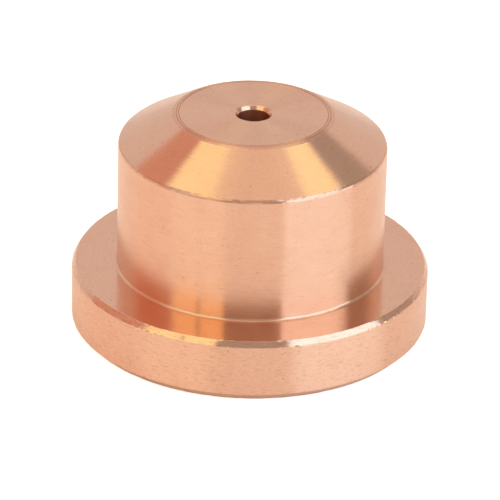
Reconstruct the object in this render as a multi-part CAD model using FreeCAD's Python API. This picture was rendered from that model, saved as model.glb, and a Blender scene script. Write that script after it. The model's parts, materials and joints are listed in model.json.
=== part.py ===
"""Plasma torch nozzle: one piece of copper, turned on a lathe.

The whole nozzle is one outline turned about its axis. The outline is a loop of corners in the
plane of radius and height, and each corner is left sharp, bevelled or rounded. Millimetres, +Z up
along the gas passage towards the tip, origin at the centre of the flat seat under the flange.
"""

import FreeCAD
import Part
import math
import os
from collections import namedtuple

# Flange, the wide foot that the retaining cap presses down
flange_diameter = 19.0
flange_thickness = 3.5
flange_top_bevel_width = 0.2
flange_top_bevel_height = 0.3
flange_seat_bevel = 0.45

# Body, the drum above the flange
body_diameter = 14.2
body_foot_radius = 0.15
overall_height = 12.1

# Tip, a blunt cone with a flat face
tip_cone_height = 1.63
tip_cone_base_break_width = 0.1
tip_cone_base_break_height = 0.12
tip_face_diameter = 7.86
inner_land_width = 0.13
inner_land_angle = 6.0
outer_land_width = 0.23
outer_land_angle = 15.0

# Gas passage: pilot counterbore, chamber, conical floor, orifice and countersink
chamber_diameter = 9.6
chamber_floor_angle = 45.0
chamber_floor_corner_radius = 0.6
pilot_ledge_width = 1.2
pilot_depth = 1.5
pilot_mouth_bevel = 0.25
pilot_corner_radius = 0.1
chamber_mouth_bevel = 0.15
orifice_diameter = 1.7
orifice_length = 2.6
orifice_entry_radius = 0.35
orifice_countersink = 0.18

Corner = namedtuple("Corner", "radius height cut_before cut_after round_radius")


def sharp(radius, height):
    """A corner left as it is."""
    return Corner(radius, height, 0.0, 0.0, 0.0)


def bevel(radius, height, cut_before, cut_after):
    """A corner cut off straight, by these lengths of the sides before and after it."""
    return Corner(radius, height, cut_before, cut_after, 0.0)


def rounded(radius, height, round_radius):
    """A corner rounded with an arc that is tangent to both of its sides."""
    return Corner(radius, height, 0.0, 0.0, round_radius)


def nozzle_corners():
    """The corners of the section, from the seat outwards, up, over the tip and down the passage."""
    flange_radius = flange_diameter / 2
    body_radius = body_diameter / 2
    chamber_radius = chamber_diameter / 2
    orifice_radius = orifice_diameter / 2
    pilot_radius = chamber_radius + pilot_ledge_width

    face_radius = tip_face_diameter / 2
    land_radius = face_radius + inner_land_width
    land_height = overall_height - inner_land_width * math.tan(math.radians(inner_land_angle))
    cone_radius = land_radius + outer_land_width
    cone_top = land_height - outer_land_width * math.tan(math.radians(outer_land_angle))
    cone_base = cone_top - tip_cone_height

    throat_height = overall_height - orifice_length
    floor_rise = (chamber_radius - orifice_radius) * math.tan(math.radians(chamber_floor_angle))
    floor_height = throat_height - floor_rise

    cone_length = math.hypot(body_radius - cone_radius, tip_cone_height)
    break_along_cone = tip_cone_base_break_width * cone_length / (body_radius - cone_radius)

    return [
        bevel(pilot_radius, 0.0, pilot_mouth_bevel, pilot_mouth_bevel),
        bevel(flange_radius, 0.0, flange_seat_bevel, flange_seat_bevel),
        bevel(flange_radius, flange_thickness, flange_top_bevel_height, flange_top_bevel_width),
        rounded(body_radius, flange_thickness, body_foot_radius),
        bevel(body_radius, cone_base, tip_cone_base_break_height, break_along_cone),
        sharp(cone_radius, cone_top),
        sharp(land_radius, land_height),
        sharp(face_radius, overall_height),
        bevel(orifice_radius, overall_height, orifice_countersink, orifice_countersink),
        rounded(orifice_radius, throat_height, orifice_entry_radius),
        rounded(chamber_radius, floor_height, chamber_floor_corner_radius),
        bevel(chamber_radius, pilot_depth, chamber_mouth_bevel, chamber_mouth_bevel),
        rounded(pilot_radius, pilot_depth, pilot_corner_radius),
    ]


def worked_corner(before, corner, after):
    """Where the outline leaves the side before, its middle where it is an arc, and where it joins
    the side after. The arc's middle lies on the line that halves the corner, and a tangent arc of
    radius R meets each side R / tan(half the angle) from the corner."""
    point = FreeCAD.Vector(corner.radius, 0, corner.height)
    to_before = FreeCAD.Vector(before.radius, 0, before.height) - point
    to_after = FreeCAD.Vector(after.radius, 0, after.height) - point
    half_angle = to_before.getAngle(to_after) / 2
    to_before.normalize()
    to_after.normalize()
    if not corner.round_radius:
        return point + to_before * corner.cut_before, None, point + to_after * corner.cut_after
    tangent_length = corner.round_radius / math.tan(half_angle)
    inwards = (to_before + to_after).normalize()
    middle = point + inwards * (corner.round_radius / math.sin(half_angle) - corner.round_radius)
    return point + to_before * tangent_length, middle, point + to_after * tangent_length


def outline(corners):
    """The closed wire through the worked corners, as straight sides, bevels and arcs."""
    worked = []
    for i, corner in enumerate(corners):
        worked.append(worked_corner(corners[i - 1], corner, corners[(i + 1) % len(corners)]))
    edges = []
    for i, (start, middle, end) in enumerate(worked):
        if middle is not None:
            edges.append(Part.Arc(start, middle, end).toShape())
        elif start.distanceToPoint(end) > 0:
            edges.append(Part.LineSegment(start, end).toShape())
        next_start = worked[(i + 1) % len(worked)][0]
        edges.append(Part.LineSegment(end, next_start).toShape())
    return Part.Wire(edges)


def nozzle():
    """The outline turned a full circle about the nozzle's axis."""
    section = Part.Face(outline(nozzle_corners()))
    axis_foot = FreeCAD.Vector(0, 0, 0)
    axis = FreeCAD.Vector(0, 0, 1)
    return section.revolve(axis_foot, axis, 360)


def main():
    os.makedirs("parts", exist_ok=True)
    solid = nozzle()
    solid.exportStep("parts/nozzle.step")
    print("nozzle", solid.ShapeType, "valid", solid.isValid(), "volume mm3", round(solid.Volume, 3))


main()
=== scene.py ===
"""Plasma torch nozzle in turned copper, on a pale studio floor.

The nozzle is one outline of radius and height, carried round its axis. Metres, +Z up towards the tip,
with the origin at the centre of the seat under the flange. Angles round the axis are counted from the
front, which is -Y, towards +X.
"""

import json
import math
from collections import namedtuple

import bpy
import numpy as np
from bpy.props import FloatProperty, FloatVectorProperty, IntProperty, PointerProperty
from mathutils import Matrix, Vector


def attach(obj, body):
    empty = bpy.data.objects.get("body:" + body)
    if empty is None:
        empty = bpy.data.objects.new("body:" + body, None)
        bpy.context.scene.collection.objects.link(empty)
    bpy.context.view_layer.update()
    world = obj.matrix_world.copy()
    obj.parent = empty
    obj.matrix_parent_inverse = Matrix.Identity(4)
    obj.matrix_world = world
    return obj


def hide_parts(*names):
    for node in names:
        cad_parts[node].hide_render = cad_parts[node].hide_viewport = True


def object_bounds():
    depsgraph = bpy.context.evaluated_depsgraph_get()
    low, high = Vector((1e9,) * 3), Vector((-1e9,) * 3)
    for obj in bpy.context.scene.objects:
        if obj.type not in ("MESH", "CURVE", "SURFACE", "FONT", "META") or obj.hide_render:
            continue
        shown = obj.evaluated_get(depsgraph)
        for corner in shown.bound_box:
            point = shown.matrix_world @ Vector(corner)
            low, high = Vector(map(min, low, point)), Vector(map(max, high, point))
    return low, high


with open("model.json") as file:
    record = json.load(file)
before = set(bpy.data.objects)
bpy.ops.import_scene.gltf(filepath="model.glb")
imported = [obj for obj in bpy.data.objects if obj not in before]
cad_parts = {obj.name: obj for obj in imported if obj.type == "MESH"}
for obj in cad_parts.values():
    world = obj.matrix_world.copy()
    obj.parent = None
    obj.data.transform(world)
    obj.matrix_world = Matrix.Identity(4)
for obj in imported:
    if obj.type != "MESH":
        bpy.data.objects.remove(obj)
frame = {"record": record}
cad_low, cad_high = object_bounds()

bl_info = {
    "name": "Plasma torch nozzle",
    "version": (1, 0, 0),
    "blender": (4, 5, 0),
    "location": "View3D > Sidebar > Torch nozzle",
    "description": "Turns a copper plasma torch nozzle and sets its studio",
    "category": "Object",
}

MM = 0.001
mount_sizes = {mount["name"]: mount["dims"] for mount in frame["record"]["mounts"]}


def length(name, description, default):
    """A size in metres that the panel shows."""
    return FloatProperty(name=name, description=description, default=default, unit="LENGTH", precision=5)


def colour(name, description, default):
    """A linear red, green and blue that the panel shows."""
    return FloatVectorProperty(
        name=name, description=description, default=default, subtype="COLOR", min=0.0, max=1.0)


class NozzleSizes(bpy.types.PropertyGroup):
    """Sizes of the nozzle's outline."""

    height: length("Height", "From the seat to the tip face", cad_high.z)
    flange_radius: length("Flange radius", "Radius of the foot flange", min(cad_high.x, cad_high.y))
    flange_thickness: length("Flange thickness", "From the seat to the flange top", 3.5 * MM)
    flange_bevel_width: length("Flange bevel width", "Top bevel of the flange, measured inwards", 0.2 * MM)
    flange_bevel_height: length("Flange bevel height", "Top bevel of the flange, measured down", 0.3 * MM)
    seat_bevel: length("Seat bevel", "Bevel under the flange, both ways", 0.45 * MM)
    body_radius: length("Body radius", "Radius of the drum", mount_sizes["cup_pilot"]["r_mm"] * MM)
    foot_radius: length("Foot radius", "Rounding between the drum and the flange", 0.15 * MM)
    cone_height: length("Cone height", "Rise of the cone", 1.63 * MM)
    break_width: length("Break width", "Broken edge between drum and cone, inwards", 0.1 * MM)
    break_height: length("Break height", "Broken edge between drum and cone, down", 0.12 * MM)
    break_turn: length("Break turn", "How far in the broken edge changes its slope", 0.03 * MM)
    face_radius: length("Face radius", "Radius of the flat tip face", 3.93 * MM)
    inner_land: length("Inner land", "Width of the ring next to the tip face", 0.13 * MM)
    outer_land: length("Outer land", "Width of the ring next to the cone", 0.23 * MM)
    orifice_radius: length("Orifice radius", "Radius of the gas hole", mount_sizes["orifice"]["r_mm"] * MM)
    orifice_length: length("Orifice length", "From the tip face to the throat", 2.6 * MM)
    countersink_width: length("Countersink width", "Bevel of the orifice's mouth, outwards", 0.13 * MM)
    countersink_depth: length("Countersink depth", "Bevel of the orifice's mouth, down", 0.20 * MM)
    lip_radius: length("Lip rounding", "Rounding of the countersink's outer edge", 0.10 * MM)
    throat_radius: length("Throat rounding", "Rounding where the chamber enters the orifice", 0.35 * MM)
    chamber_radius: length("Chamber radius", "Radius inside", mount_sizes["electrode_chamber"]["r_mm"] * MM)
    chamber_corner: length("Chamber corner", "Rounding between the chamber's wall and floor", 0.6 * MM)
    pilot_radius: length("Pilot radius", "Counterbore", mount_sizes["gas_ring_pilot"]["r_mm"] * MM)
    pilot_depth: length("Pilot depth", "Depth of the counterbore", 1.5 * MM)
    pilot_corner: length("Pilot corner", "Rounding at the counterbore's inner corner", 0.1 * MM)
    pilot_bevel: length("Pilot bevel", "Bevel of the counterbore's mouth", 0.25 * MM)
    chamber_bevel: length("Chamber bevel", "Bevel of the chamber's mouth", 0.15 * MM)
    edge_radius: length("Edge rounding", "Rounding of every edge that is left sharp", 0.018 * MM)
    ring_width: length("Ring width", "Half the width of the rings scored beside the tip face", 0.025 * MM)
    ring_depth: length("Ring depth", "Depth of the rings scored beside the tip face", 0.014 * MM)
    steps_round: IntProperty(name="Steps round", description="Faces round the axis", default=840, min=24)
    wear_seed: IntProperty(
        name="Wear seed", description="Another number wears the edges in other places", default=7)


class NozzleFinish(bpy.types.PropertyGroup):
    """Colours of the copper."""

    copper: colour("Copper", "Clean turned copper", (0.88, 0.54, 0.40))
    # The stain colour also paints shade: the passage inside the hole is given it all over, darker and redder
    stain: colour("Stain", "Copper browned in the grooves", (0.60, 0.25, 0.15))


class StudioSettings(bpy.types.PropertyGroup):
    """Floor, light and camera."""

    floor: colour("Floor", "Pale floor", (0.8, 0.8, 0.8))
    floor_glow: colour("Floor glow", "Light that the open floor adds for the eye", (0.75, 0.75, 0.75))
    metal_glow: colour("Floor glow in metal", "The same, for metal that mirrors the floor", (0.4, 0.3, 0.25))


INNER_LAND_SLOPE = math.radians(6.0)
OUTER_LAND_SLOPE = math.radians(15.0)
CHAMBER_FLOOR_SLOPE = math.radians(45.0)

# A corner of the outline, its rounding, the finish of the side after it, and how deep it is worn
Corner = namedtuple("Corner", "radius height rounding finish_after wear")

RAGGED = 0.030 * MM
WORN = 0.015 * MM
FRAYED = 0.010 * MM
KEEN = 0.006 * MM


def nozzle_corners(s):
    """The outline's corners from the seat outwards, up, over the tip and down the passage."""
    edge = s.edge_radius
    land_radius = s.face_radius + s.inner_land
    land_height = s.height - s.inner_land * math.tan(INNER_LAND_SLOPE)
    cone_radius = land_radius + s.outer_land
    cone_top = land_height - s.outer_land * math.tan(OUTER_LAND_SLOPE)
    cone_base = cone_top - s.cone_height
    cone_rise = s.cone_height / (s.body_radius - cone_radius)
    throat_height = s.height - s.orifice_length
    floor_height = throat_height - (s.chamber_radius - s.orifice_radius) * math.tan(CHAMBER_FLOOR_SLOPE)
    half, deep = s.ring_width, s.ring_depth
    outer_ring = land_height - half * math.tan(OUTER_LAND_SLOPE)
    inner_ring = land_height + half * math.tan(INNER_LAND_SLOPE)
    return [
        Corner(s.pilot_radius + s.pilot_bevel, 0.0, edge, "seat", 0.0),
        Corner(s.flange_radius - s.seat_bevel, 0.0, edge, "bevel", WORN),
        Corner(s.flange_radius, s.seat_bevel, edge, "rim", WORN),
        Corner(s.flange_radius, s.flange_thickness - s.flange_bevel_height, edge, "bevel", RAGGED),
        Corner(s.flange_radius - s.flange_bevel_width, s.flange_thickness, edge, "shoulder", WORN),
        Corner(s.body_radius, s.flange_thickness, s.foot_radius, "drum", 0.0),
        Corner(s.body_radius, cone_base - s.break_height, edge / 2, "break", FRAYED),
        Corner(s.body_radius - s.break_turn, cone_base - s.break_turn / 2, edge / 2, "break", 0.0),
        Corner(s.body_radius - s.break_width, cone_base + s.break_width * cone_rise, edge, "cone", FRAYED),
        Corner(cone_radius, cone_top, edge, "land", KEEN),
        Corner(land_radius + half, outer_ring, edge / 3, "groove", 0.0),
        Corner(land_radius, land_height - deep, edge / 3, "groove", 0.0),
        Corner(land_radius - half, inner_ring, edge / 3, "land", 0.0),
        Corner(s.face_radius + half, s.height - half * math.tan(INNER_LAND_SLOPE), edge / 3, "groove", 0.0),
        Corner(s.face_radius, s.height - deep, edge / 3, "groove", 0.0),
        Corner(s.face_radius - half, s.height, edge / 3, "face", 0.0),
        Corner(s.orifice_radius + s.countersink_width, s.height, s.lip_radius, "countersink", KEEN),
        Corner(s.orifice_radius, s.height - s.countersink_depth, edge, "passage", KEEN),
        Corner(s.orifice_radius, throat_height, s.throat_radius, "passage", 0.0),
        Corner(s.chamber_radius, floor_height, s.chamber_corner, "passage", 0.0),
        Corner(s.chamber_radius, s.pilot_depth + s.chamber_bevel, edge, "passage", 0.0),
        Corner(s.chamber_radius + s.chamber_bevel, s.pilot_depth, edge, "passage", 0.0),
        Corner(s.pilot_radius, s.pilot_depth, s.pilot_corner, "passage", 0.0),
        Corner(s.pilot_radius, s.pilot_bevel, edge, "passage", 0.0),
    ]


ARC_STEPS = 3
GUARD = 0.06 * MM


def rounded_outline(corners):
    """A closed outline through arcs at the corners and straight sides between them.

    At a corner whose half angle is h, the arc of radius R touches each side R / tan(h) from the corner, and
    its centre lies R / sin(h) from the corner on the line that halves it. A point on the arc is the two
    spokes to the touching points, weighted by the sines of the angle left to the other one. A worn corner
    has a guard point before and after its arc, which stays where it is. Returns the points, how far each
    moves when its corner wears by one metre, the number of the corner whose finish the stretch after it
    has, and of the one it wears with."""
    place = np.array([(c.radius, c.height) for c in corners])
    rounding = np.array([c.rounding for c in corners])[:, None]
    to_before = np.roll(place, 1, axis=0) - place
    to_after = np.roll(place, -1, axis=0) - place
    to_before /= np.linalg.norm(to_before, axis=1, keepdims=True)
    to_after /= np.linalg.norm(to_after, axis=1, keepdims=True)
    half = np.arccos(np.clip((to_before * to_after).sum(1, keepdims=True), -1.0, 1.0)) / 2
    inwards = to_before + to_after
    inwards /= np.linalg.norm(inwards, axis=1, keepdims=True)
    centre = place + inwards * rounding / np.sin(half)
    reach = rounding / np.tan(half)
    first_spoke = place + to_before * reach - centre
    last_spoke = place + to_after * reach - centre
    sweep = (math.pi - 2 * half)[:, :, None]
    share = np.linspace(0.0, 1.0, ARC_STEPS + 1)[None, :, None]
    arcs = centre[:, None] + (np.sin((1 - share) * sweep) * first_spoke[:, None]
                              + np.sin(share * sweep) * last_spoke[:, None]) / np.sin(sweep)
    before = place + to_before * (reach + GUARD)
    after = place + to_after * (reach + GUARD)
    points = np.concatenate([before[:, None], arcs, after[:, None]], axis=1)
    moves = np.zeros_like(points)
    moves[:, 1:-1] = inwards[:, None]
    corner_of = np.arange(len(corners))[:, None] + np.zeros(ARC_STEPS + 3, int)
    kept = np.ones(corner_of.shape, bool)
    kept[:, [0, -1]] = np.array([c.wear > 0 for c in corners])[:, None]
    corner_of[:, 0] -= 1
    return points[kept], moves[kept], corner_of[kept] % len(corners), np.nonzero(kept)[0]


WEAR_GRAIN = 0.10 * MM


def edge_wear(corners, steps, seed):
    """How far each corner is worn back at each angle: even noise, smoothed round the circle by a bell of the
    wear's grain, and only its upper half, softened at the top, times the corner's wear."""
    radius = np.array([c.radius for c in corners])[:, None]
    wear = np.array([c.wear for c in corners])[:, None]
    noise = np.random.default_rng(seed).normal(size=(len(corners), steps))
    waves = np.fft.rfftfreq(steps, 1 / steps)
    bell = np.exp(-0.5 * (waves * WEAR_GRAIN / radius) ** 2)
    smooth = np.fft.irfft(np.fft.rfft(noise, axis=1) * bell, steps, axis=1)
    smooth /= smooth.std(axis=1, keepdims=True)
    return wear * np.tanh(np.maximum(smooth, 0.0))


def lathe(points, moves, wear, steps):
    """The outline carried round the axis: x = r sin a, y = -r cos a, z = height, for angle a from the front.

    Each point first moves by its corner's wear at that angle. Rows follow the outline and columns the
    angle, both closed. Returns the vertices, one normal for each, the square faces with their outer side
    outwards, and the faces' corners on the map of profile length and turn."""
    angle = np.arange(steps) * (2 * math.pi / steps)
    radius = points[:, :1] + moves[:, :1] * wear
    height = points[:, 1:] + moves[:, 1:] * wear
    grid = np.stack([radius * np.sin(angle), -radius * np.cos(angle), height], axis=2)
    along = np.roll(grid, -1, axis=0) - np.roll(grid, 1, axis=0)
    around = np.roll(grid, -1, axis=1) - np.roll(grid, 1, axis=1)
    normals = np.cross(around, along)
    normals /= np.linalg.norm(normals, axis=2, keepdims=True)
    rows = len(points)
    row = np.arange(rows)[:, None] + 0 * np.arange(steps)[None]
    column = 0 * row + np.arange(steps)[None]
    next_row = (row + 1) % rows
    next_column = (column + 1) % steps
    faces = np.stack([row * steps + column, row * steps + next_column,
                      next_row * steps + next_column, next_row * steps + column], axis=2).reshape(-1, 4)
    step_lengths = np.linalg.norm(np.roll(points, -1, axis=0) - points, axis=1)
    distance = np.concatenate([[0.0], np.cumsum(step_lengths)])
    start, end = distance[row], distance[row + 1]
    turn, next_turn = column / steps, (column + 1) / steps
    uv = np.stack([np.stack([start, turn], 2), np.stack([start, next_turn], 2),
                   np.stack([end, next_turn], 2), np.stack([end, turn], 2)], axis=2).reshape(-1, 2)
    return grid.reshape(-1, 3), normals.reshape(-1, 3), faces, uv


LATHE_MAP = "profile_and_turn"


def mesh_from_arrays(name, vertices, faces, normals, uv, material_index):
    """A mesh of square faces with its own normals and a map of profile length and turn."""
    mesh = bpy.data.meshes.new(name)
    mesh.from_pydata(vertices.tolist(), [], faces.tolist())
    mesh.polygons.foreach_set("material_index", material_index.astype(np.int32))
    layer = mesh.uv_layers.new(name=LATHE_MAP)
    layer.uv.foreach_set("vector", uv.astype(np.float32).ravel())
    mesh.shade_smooth()
    mesh.normals_split_custom_set_from_vertices(normals.tolist())
    mesh.update()
    return mesh


# Roughness, how far it is drawn out along the grooves and how uneven it is, the grooves' pitch and length,
# their tilt both ways, the unevenness of the tone, the share of stain in streaks, and the share of stain
# colour all over, which is browning on most stretches and painted shade in the passage
Finish = namedtuple(
    "Finish", "roughness anisotropy uneven pitch length tilt_along tilt_round grain stain tarnish")

FINISHES = {
    "seat": Finish(0.25, 0.9, 0.1, 0.08 * MM, 0.8 * MM, 0.05, 0.02, 0.10, 0.3, 0.0),
    "bevel": Finish(0.14, 1.0, 0.1, 0.08 * MM, 0.6 * MM, 0.10, 0.04, 0.15, 0.5, 0.0),
    "break": Finish(0.12, 1.0, 0.1, 0.06 * MM, 0.5 * MM, 0.10, 0.05, 0.20, 0.4, 0.2),
    "rim": Finish(0.30, 0.9, 0.1, 0.08 * MM, 0.35 * MM, 0.07, 0.02, 0.12, 0.45, 0.0),
    "shoulder": Finish(0.10, 1.0, 0.05, 0.08 * MM, 1.0 * MM, 0.02, 0.01, 0.06, 0.15, 0.0),
    "drum": Finish(0.22, 1.0, 0.1, 0.08 * MM, 0.8 * MM, 0.06, 0.02, 0.08, 0.10, 0.05),
    "cone": Finish(0.16, 1.0, 0.1, 0.06 * MM, 1.5 * MM, 0.04, 0.03, 0.06, 0.06, 0.0),
    "land": Finish(0.20, 1.0, 0.1, 0.05 * MM, 1.0 * MM, 0.05, 0.02, 0.12, 0.20, 0.15),
    "groove": Finish(0.22, 1.0, 0.1, 0.05 * MM, 1.0 * MM, 0.05, 0.02, 0.15, 0.40, 0.8),
    "face": Finish(0.24, 0.94, 0.1, 0.08 * MM, 0.15 * MM, 0.05, 0.02, 0.06, 0.06, 0.0),
    "countersink": Finish(0.20, 1.0, 0.1, 0.05 * MM, 0.5 * MM, 0.05, 0.03, 0.05, 0.0, 0.0),
    # The passage takes the stain colour all over: painted shade, darker and redder inside the hole
    "passage": Finish(0.45, 0.5, 0.1, 0.05 * MM, 0.5 * MM, 0.05, 0.03, 0.10, 0.0, 1.0),
}
SPECKLE_SIZE = 0.09 * MM
SPECKLE_STRENGTH = 0.18
MOTTLE_SIZE = 1.1 * MM
MOTTLE_STRENGTH = 0.25
PIT_SIZE = 0.18 * MM
PIT_STRENGTH = 0.7
STREAK_STAIN_FROM, STREAK_STAIN_TO = 0.03, 0.22
PIT_FROM, PIT_TO = 0.22, 0.28


class Nodes:
    """Adds nodes to a material and joins them, one short call for each."""

    def __init__(self, tree):
        self.tree = tree

    def add(self, kind, inputs=None, **settings):
        """A node of this kind with these settings; each input is a value or another node's output."""
        node = self.tree.nodes.new(kind)
        for key, value in settings.items():
            setattr(node, key, value)
        for key, value in (inputs or {}).items():
            if isinstance(value, bpy.types.NodeSocket):
                self.tree.links.new(value, node.inputs[key])
            else:
                node.inputs[key].default_value = value
        return node

    def math(self, operation, *values, clamp=False):
        """The result of a Math node, kept between 0 and 1 if clamped."""
        inputs = dict(enumerate(values))
        return self.add("ShaderNodeMath", inputs, operation=operation, use_clamp=clamp).outputs[0]

    def vector(self, operation, *values, scale=None):
        """The vector result of a Vector Math node."""
        inputs = dict(enumerate(values))
        if scale is not None:
            inputs["Scale"] = scale
        return self.add("ShaderNodeVectorMath", inputs, operation=operation).outputs[0]


def new_material(name):
    """An empty material and its Nodes."""
    material = bpy.data.materials.new(name)
    material.use_nodes = True
    material.node_tree.nodes.clear()
    return material, Nodes(material.node_tree)


def turned_copper(name, finish, look):
    """Copper as a lathe tool leaves it. Fine grooves round the axis spread light along the profile, some
    more than others, and they tilt the surface a little, unevenly."""
    material, n = new_material(name)
    place = n.add("ShaderNodeTexCoord").outputs["Object"]
    flat = n.vector("MULTIPLY", place, (1.0, 1.0, 0.0))
    profile_map = n.add("ShaderNodeUVMap", uv_map=LATHE_MAP).outputs["UV"]
    across = n.add("ShaderNodeSeparateXYZ", {0: profile_map}).outputs["X"]
    circle = n.add("ShaderNodeSeparateXYZ", {0: n.vector("DIVIDE", flat, (finish.length,) * 3)})
    groove = n.math("DIVIDE", across, finish.pitch)
    along = n.add("ShaderNodeTangent", direction_type="UV_MAP", uv_map=LATHE_MAP).outputs["Tangent"]
    facing = n.add("ShaderNodeNewGeometry").outputs["Normal"]
    around = n.vector("CROSS_PRODUCT", facing, along)

    def streaks(shift):
        """Noise drawn out round the axis, from -0.5 to 0.5; another shift gives another pattern."""
        at = n.add("ShaderNodeCombineXYZ", {"X": circle.outputs["X"], "Y": circle.outputs["Y"],
                                            "Z": n.math("ADD", groove, shift)}).outputs[0]
        noise = n.add("ShaderNodeTexNoise", {"Vector": at, "Scale": 1.0, "Detail": 2.0, "Roughness": 0.6},
                      noise_dimensions="3D").outputs["Fac"]
        return n.math("SUBTRACT", noise, 0.5)

    def mottle(size):
        """Even noise of this grain, from -0.5 to 0.5."""
        noise = n.add("ShaderNodeTexNoise", {"Vector": place, "Scale": 1 / size, "Detail": 1.0},
                      noise_dimensions="3D").outputs["Fac"]
        return n.math("SUBTRACT", noise, 0.5)

    def push(direction, amount):
        """This direction times this amount."""
        return n.vector("SCALE", direction, scale=amount)

    tilt_along = push(along, n.math("MULTIPLY", streaks(0.0), finish.tilt_along))
    tilt_round = push(around, n.math("MULTIPLY", streaks(500.0), finish.tilt_round))
    tilted = n.vector("ADD", n.vector("ADD", facing, tilt_along), tilt_round)
    roughness = n.math("ADD", n.math("MULTIPLY", streaks(1000.0), finish.uneven), finish.roughness)
    # Streak stains plus a share of stain colour all over; in the passage that share is painted shade
    streak_stain_and_painted_shade = n.add("ShaderNodeMapRange", {
        "Value": streaks(1500.0), "From Min": STREAK_STAIN_FROM, "From Max": STREAK_STAIN_TO,
        "To Min": finish.tarnish, "To Max": finish.tarnish + finish.stain}).outputs[0]
    pitted = n.add("ShaderNodeMapRange", {
        "Value": mottle(PIT_SIZE), "From Min": PIT_FROM, "From Max": PIT_TO,
        "To Min": 0.0, "To Max": PIT_STRENGTH}).outputs[0]
    clouds = n.math("MULTIPLY", mottle(MOTTLE_SIZE), MOTTLE_STRENGTH)
    brown_and_painted_shade = n.math("ADD", clouds, n.math("ADD", streak_stain_and_painted_shade, pitted), clamp=True)
    copper = n.add("ShaderNodeMix", {0: brown_and_painted_shade, 6: (*look.copper, 1.0), 7: (*look.stain, 1.0)},
                   data_type="RGBA").outputs[2]
    uneven_shade = n.math("MULTIPLY", streaks(2000.0), finish.grain)
    speckle = n.math("MULTIPLY", mottle(SPECKLE_SIZE), SPECKLE_STRENGTH)
    shade = n.math("ADD", n.math("ADD", uneven_shade, speckle), 1.0)
    shader = n.add("ShaderNodeBsdfPrincipled", {
        "Base Color": n.vector("SCALE", copper, scale=shade), "Metallic": 1.0, "Roughness": roughness,
        "Anisotropic": finish.anisotropy, "Normal": n.vector("NORMALIZE", tilted), "Tangent": along})
    n.add("ShaderNodeOutputMaterial", {"Surface": shader.outputs[0]})
    return material


class NOZZLE_OT_turn(bpy.types.Operator):
    """Turns the copper nozzle"""

    bl_idname = "torch_nozzle.turn"
    bl_label = "Turn the nozzle"

    def execute(self, context):
        sizes = context.scene.nozzle_sizes
        look = context.scene.nozzle_finish
        corners = nozzle_corners(sizes)
        points, moves, finish_from, worn_with = rounded_outline(corners)
        wear = edge_wear(corners, sizes.steps_round, sizes.wear_seed)[worn_with]
        vertices, normals, faces, uv = lathe(points, moves, wear, sizes.steps_round)
        names = list(FINISHES)
        finish_of_corner = np.array([names.index(c.finish_after) for c in corners])
        material_index = np.repeat(finish_of_corner[finish_from], sizes.steps_round)
        mesh = mesh_from_arrays("copper_nozzle", vertices, faces, normals, uv, material_index)
        for name in names:
            mesh.materials.append(turned_copper("turned copper " + name, FINISHES[name], look))
        nozzle = bpy.data.objects.new("copper_nozzle", mesh)
        context.scene.collection.objects.link(nozzle)
        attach(nozzle, "root")
        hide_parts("nozzle")
        return {"FINISHED"}


# The camera's lens, lean and place, fitted to the nozzle's edges in the photograph
CAMERA_LENS = 310.5
CAMERA_SENSOR = 36.0
CAMERA_ELEVATION = math.radians(26.931)
CAMERA_ROLL = math.radians(-1.378)
SEAT_LEFT_OF_CENTRE = 0.0697 * MM
SEAT_BELOW_CENTRE = 3.6047 * MM
SEAT_DISTANCE = 231.68 * MM


def set_camera(scene):
    """The camera looks along +Y and down, turned a little about its own axis, with the seat at its
    measured place."""
    forward = Vector((0.0, math.cos(CAMERA_ELEVATION), -math.sin(CAMERA_ELEVATION)))
    level_right = Vector((1.0, 0.0, 0.0))
    level_down = forward.cross(level_right)
    right = level_right * math.cos(CAMERA_ROLL) + level_down * math.sin(CAMERA_ROLL)
    down = level_down * math.cos(CAMERA_ROLL) - level_right * math.sin(CAMERA_ROLL)
    data = bpy.data.cameras.new("camera")
    data.lens = CAMERA_LENS
    data.sensor_width = CAMERA_SENSOR
    data.clip_start = 0.01
    data.clip_end = 10.0
    camera = bpy.data.objects.new("camera", data)
    place = -(SEAT_DISTANCE * forward + SEAT_BELOW_CENTRE * down - SEAT_LEFT_OF_CENTRE * right)
    axes = Matrix((right, -down, -forward)).transposed()
    camera.matrix_world = Matrix.Translation(place) @ axes.to_4x4()
    scene.collection.objects.link(camera)
    scene.camera = camera


STUDIO_RADIUS = 0.5
FLOOR_STEPS = 96
FLOOR_GLOSS_ROUGHNESS = 0.1
FLOOR_GLOSS_IOR = 1.3
# Painted shadow round the seat, in the floor's glow as metal sees it: full beyond the outer radius, down to
# a share inside the inner one
PAINTED_SHADOW_RADIUS = 9.0 * MM
PAINTED_SHADOW_END_RADIUS = 10.4 * MM
PAINTED_SHADOW_SHARE = 0.4


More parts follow.
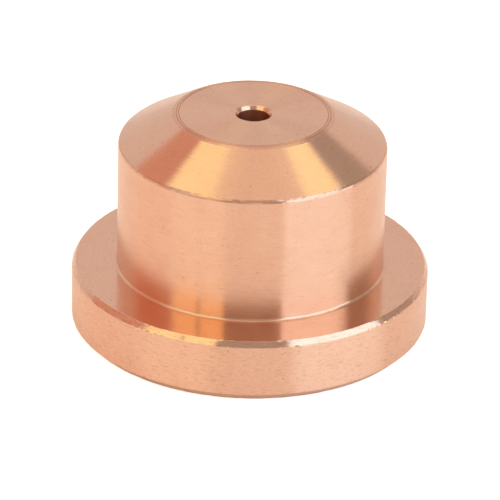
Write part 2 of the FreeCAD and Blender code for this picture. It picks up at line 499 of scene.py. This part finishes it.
def set_floor(scene, studio):
    """A wide pale disc under the nozzle, slightly glossy. It adds a little light of its own for the eye,
    which makes the open floor white and leaves the shadow soft, and less of it for metal. The light for
    metal carries a painted shadow: near the seat it falls to a share of itself."""
    angle = np.arange(FLOOR_STEPS) * (2 * math.pi / FLOOR_STEPS)
    rim = np.stack([np.cos(angle), np.sin(angle), 0 * angle], axis=1) * STUDIO_RADIUS
    mesh = bpy.data.meshes.new("floor")
    mesh.from_pydata(rim.tolist(), [], [list(range(FLOOR_STEPS))])
    floor = bpy.data.objects.new("floor", mesh)
    material, n = new_material("pale floor")
    on_floor = n.add("ShaderNodeTexCoord").outputs["Object"]
    flat = n.vector("MULTIPLY", on_floor, (1.0, 1.0, 0.0))
    distance = n.add("ShaderNodeVectorMath", {0: flat}, operation="LENGTH").outputs["Value"]
    # Painted shadow: the floor's glow for metal fades towards the nozzle's seat
    outside_painted_shadow = n.add("ShaderNodeMapRange", {
        "Value": distance, "From Min": PAINTED_SHADOW_RADIUS, "From Max": PAINTED_SHADOW_END_RADIUS,
        "To Min": PAINTED_SHADOW_SHARE, "To Max": 1.0}, interpolation_type="SMOOTHSTEP").outputs[0]
    ray = n.add("ShaderNodeLightPath").outputs
    by_metal_past_painted_shadow = n.math("MULTIPLY", ray["Is Glossy Ray"], outside_painted_shadow)
    by_eye = n.math("ADD", ray["Is Camera Ray"], ray["Is Transmission Ray"])
    diffuse = n.add("ShaderNodeBsdfDiffuse", {"Color": (*studio.floor, 1.0)})
    eye_glow = n.add("ShaderNodeEmission", {"Color": (*studio.floor_glow, 1.0), "Strength": by_eye})
    metal_glow = n.add("ShaderNodeEmission", {"Color": (*studio.metal_glow, 1.0), "Strength": by_metal_past_painted_shadow})
    glow = n.add("ShaderNodeAddShader", {0: eye_glow.outputs[0], 1: metal_glow.outputs[0]})
    both = n.add("ShaderNodeAddShader", {0: diffuse.outputs[0], 1: glow.outputs[0]})
    gloss = n.add("ShaderNodeBsdfAnisotropic", {
        "Color": (1.0, 1.0, 1.0, 1.0), "Roughness": FLOOR_GLOSS_ROUGHNESS})
    fresnel = n.add("ShaderNodeFresnel", {"IOR": FLOOR_GLOSS_IOR}).outputs[0]
    shine = n.math("MULTIPLY", fresnel, ray["Is Glossy Ray"])
    glossed = n.add("ShaderNodeMixShader", {0: shine, 1: both.outputs[0], 2: gloss.outputs[0]})
    n.add("ShaderNodeOutputMaterial", {"Surface": glossed.outputs[0]})
    mesh.materials.append(material)
    scene.collection.objects.link(floor)


# A panel of the light tent: its sides in degrees, how wide its soft edges are, all alike or in the order
# left, right, bottom, top, and its colour
Panel = namedtuple("Panel", "name left right bottom top edges glow")

# The tent's plain colours, for its cloth, its lamps and its cards
CLOTH = (0.75, 0.68, 0.62)
PALE_CLOTH = (0.9, 0.75, 0.6)
COOL_LAMP = (1.3, 1.7, 1.9)
WARM_LAMP = (1.3, 1.2, 0.7)
RED_CARD = (0.7, 0.4, 0.3)
BROWN_CARD = (0.45, 0.4, 0.35)

PANELS = (
    Panel("roof", -180, 180, 65, 91, 8, PALE_CLOTH),
    Panel("left overhead lamp", -170, -100, 55, 75, 5, WARM_LAMP),
    Panel("left upper card", -165, -90, 37, 55, 4, RED_CARD),
    Panel("right overhead lamp", 100, 160, 53, 69, 5, WARM_LAMP),
    Panel("right upper card", 105, 165, 35, 52, 5, BROWN_CARD),
    Panel("camera side", -24, 30, 4, 62, 3, BROWN_CARD),
    Panel("left softbox", -70, -22, 15, 60, (8, 2, 4, 8), WARM_LAMP),
    Panel("left softbox's frame", -45, -42, 12, 34, 1, BROWN_CARD),
    Panel("left lower card", -115, -70, 2, 37, (15, 6, 6, 6), RED_CARD),
    Panel("right softbox", 28, 90, 0, 60, (2, 1, 2, 2), COOL_LAMP),
    Panel("right lower card", 91, 125, 2, 44, (1, 20, 8, 4), BROWN_CARD),
)


def soft_step(value):
    """0 below -1, 1 above 1, and smooth between."""
    share = np.clip((value + 1) / 2, 0.0, 1.0)
    return share * share * (3 - 2 * share)


def tent_glow(azimuth, elevation):
    """The light that the tent sends from each direction, in degrees from the front and up.

    Each panel covers what is under it by its mask: the soft step of the distance inside each of its four
    sides, in units of half that edge's width, all four multiplied."""
    glow = np.ones((*azimuth.shape, 3)) * CLOTH
    for panel in PANELS:
        inside = [azimuth - panel.left, panel.right - azimuth,
                  elevation - panel.bottom, panel.top - elevation]
        widths = np.broadcast_to(panel.edges, 4)
        steps = [soft_step(2 * distance / width) for distance, width in zip(inside, widths)]
        mask = np.prod(steps, axis=0)[..., None]
        glow = glow * (1 - mask) + np.array(panel.glow) * mask
    return glow


def set_tent(scene):
    """A light tent: a dome round the studio, lit from behind, that only mirrors and the floor see."""
    azimuth, elevation = np.meshgrid(np.arange(-180.0, 180.0, 1.0), np.arange(0.0, 90.5, 1.0))
    a, e = np.radians(azimuth), np.radians(elevation)
    place = np.stack([np.sin(a) * np.cos(e), -np.cos(a) * np.cos(e), np.sin(e)], axis=2) * STUDIO_RADIUS
    rows, columns = azimuth.shape
    row, column = np.meshgrid(np.arange(rows - 1), np.arange(columns), indexing="ij")
    next_column = (column + 1) % columns
    faces = np.stack([row * columns + column, (row + 1) * columns + column,
                      (row + 1) * columns + next_column, row * columns + next_column], axis=2).reshape(-1, 4)
    mesh = bpy.data.meshes.new("light_tent")
    mesh.from_pydata(place.reshape(-1, 3).tolist(), [], faces.tolist())
    glow = np.concatenate([tent_glow(azimuth, elevation), np.ones((rows, columns, 1))], axis=2)
    attribute = mesh.attributes.new("glow", "FLOAT_COLOR", "POINT")
    attribute.data.foreach_set("color", glow.astype(np.float32).ravel())
    material, n = new_material("light tent")
    colour_seen = n.add("ShaderNodeAttribute", attribute_name="glow").outputs["Color"]
    emission = n.add("ShaderNodeEmission", {"Color": colour_seen, "Strength": 1.0})
    n.add("ShaderNodeOutputMaterial", {"Surface": emission.outputs[0]})
    mesh.materials.append(material)
    tent = bpy.data.objects.new("light_tent", mesh)
    tent.visible_camera = False
    scene.collection.objects.link(tent)


def set_world(scene):
    """A white surround."""
    world = bpy.data.worlds.new("studio")
    world.use_nodes = True
    world.node_tree.nodes.clear()
    n = Nodes(world.node_tree)
    background = n.add("ShaderNodeBackground", {"Color": (1.0, 1.0, 1.0, 1.0), "Strength": 1.0})
    n.add("ShaderNodeOutputWorld", {"Surface": background.outputs[0]})
    scene.world = world


class NOZZLE_OT_stage(bpy.types.Operator):
    """Sets the floor, the light and the camera"""

    bl_idname = "torch_nozzle.stage"
    bl_label = "Set the studio"

    def execute(self, context):
        scene = context.scene
        set_floor(scene, scene.nozzle_studio)
        set_tent(scene)
        set_world(scene)
        set_camera(scene)
        scene.view_settings.view_transform = "Standard"
        return {"FINISHED"}


class NOZZLE_PT_panel(bpy.types.Panel):
    """Sizes, colours and the two steps"""

    bl_label = "Torch nozzle"
    bl_idname = "NOZZLE_PT_panel"
    bl_space_type = "VIEW_3D"
    bl_region_type = "UI"
    bl_category = "Torch nozzle"

    def draw(self, context):
        for group in (context.scene.nozzle_sizes, context.scene.nozzle_finish, context.scene.nozzle_studio):
            box = self.layout.box()
            for name in group.__annotations__:
                box.prop(group, name)
        self.layout.operator(NOZZLE_OT_turn.bl_idname)
        self.layout.operator(NOZZLE_OT_stage.bl_idname)


CLASSES = (NozzleSizes, NozzleFinish, StudioSettings, NOZZLE_OT_turn, NOZZLE_OT_stage, NOZZLE_PT_panel)


def register():
    for cls in CLASSES:
        bpy.utils.register_class(cls)
    bpy.types.Scene.nozzle_sizes = PointerProperty(type=NozzleSizes)
    bpy.types.Scene.nozzle_finish = PointerProperty(type=NozzleFinish)
    bpy.types.Scene.nozzle_studio = PointerProperty(type=StudioSettings)


def unregister():
    del bpy.types.Scene.nozzle_studio
    del bpy.types.Scene.nozzle_finish
    del bpy.types.Scene.nozzle_sizes
    for cls in reversed(CLASSES):
        bpy.utils.unregister_class(cls)


def main():
    """Makes the nozzle and its studio."""
    register()
    bpy.ops.torch_nozzle.turn()
    bpy.ops.torch_nozzle.stage()


if __name__ == "__main__":
    main()
